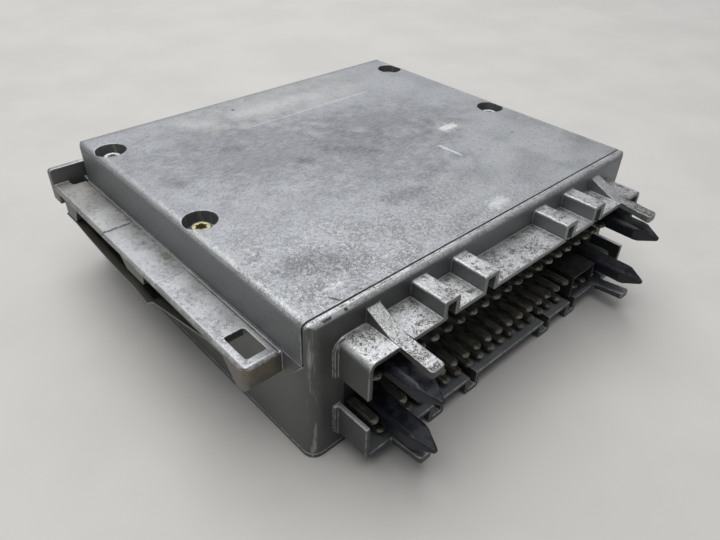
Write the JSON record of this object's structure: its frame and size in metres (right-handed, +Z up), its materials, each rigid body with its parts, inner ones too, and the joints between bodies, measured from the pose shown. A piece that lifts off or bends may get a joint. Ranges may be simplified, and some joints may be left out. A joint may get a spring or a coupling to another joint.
{
  "type": "engine control unit",
  "caption": "Flat die-cast control unit with slide rails, leaf springs, a screwed lid and a castellated hood around rows of contact blades and guide pegs.",
  "frame": {"origin": "centre of the flat underside of the housing, without rails and connector", "axes": "+Z up from the underside to the lid, -Y out of the connector, rails along Y on both X sides"},
  "size_m": [0.1732, 0.1628, 0.0497],
  "materials": {
    "cast_aluminium": "as-cast, worn and pitted",
    "yellow_zinc": "yellow zinc plated",
    "header_plastic": "moulded, matt",
    "contact_metal": "tarnished plating",
    "peg_plastic": "moulded, satin",
    "spring_steel": "rolled strip",
    "board": "solder resist",
    "plain_steel": "plated",
    "link_plastic": "plain",
    "chip_plastic": "moulded",
    "sleeve_plastic": "shrunk sleeve"
  },
  "bodies": {
    "root": {"frame_casting": "cast_aluminium", "lid": "cast_aluminium", "bottom_cover": "cast_aluminium", "lid_screws": "yellow_zinc", "cover_screws": "yellow_zinc", "pin_header": "header_plastic", "contact_pins_upper": "contact_metal", "contact_pins_lower": "contact_metal", "guide_peg_upper_left": "peg_plastic", "guide_peg_upper_right": "peg_plastic", "guide_peg_lower_left": "peg_plastic", "guide_peg_lower_right": "peg_plastic", "leaf_spring_left": "spring_steel", "leaf_spring_right": "spring_steel", "upper_board": "board", "lower_board": "board", "upper_board_screws": "plain_steel", "lower_board_screws": "plain_steel", "ribbon_link": "link_plastic", "microcontroller": "chip_plastic", "memory_socket": "header_plastic", "program_memory": "chip_plastic", "crystal": "plain_steel", "support_chips": "chip_plastic", "electrolytic_capacitors": "sleeve_plastic", "power_transistors": "chip_plastic", "transistor_clamp": "spring_steel", "clamp_screws": "plain_steel"}
  },
  "joints": []
}
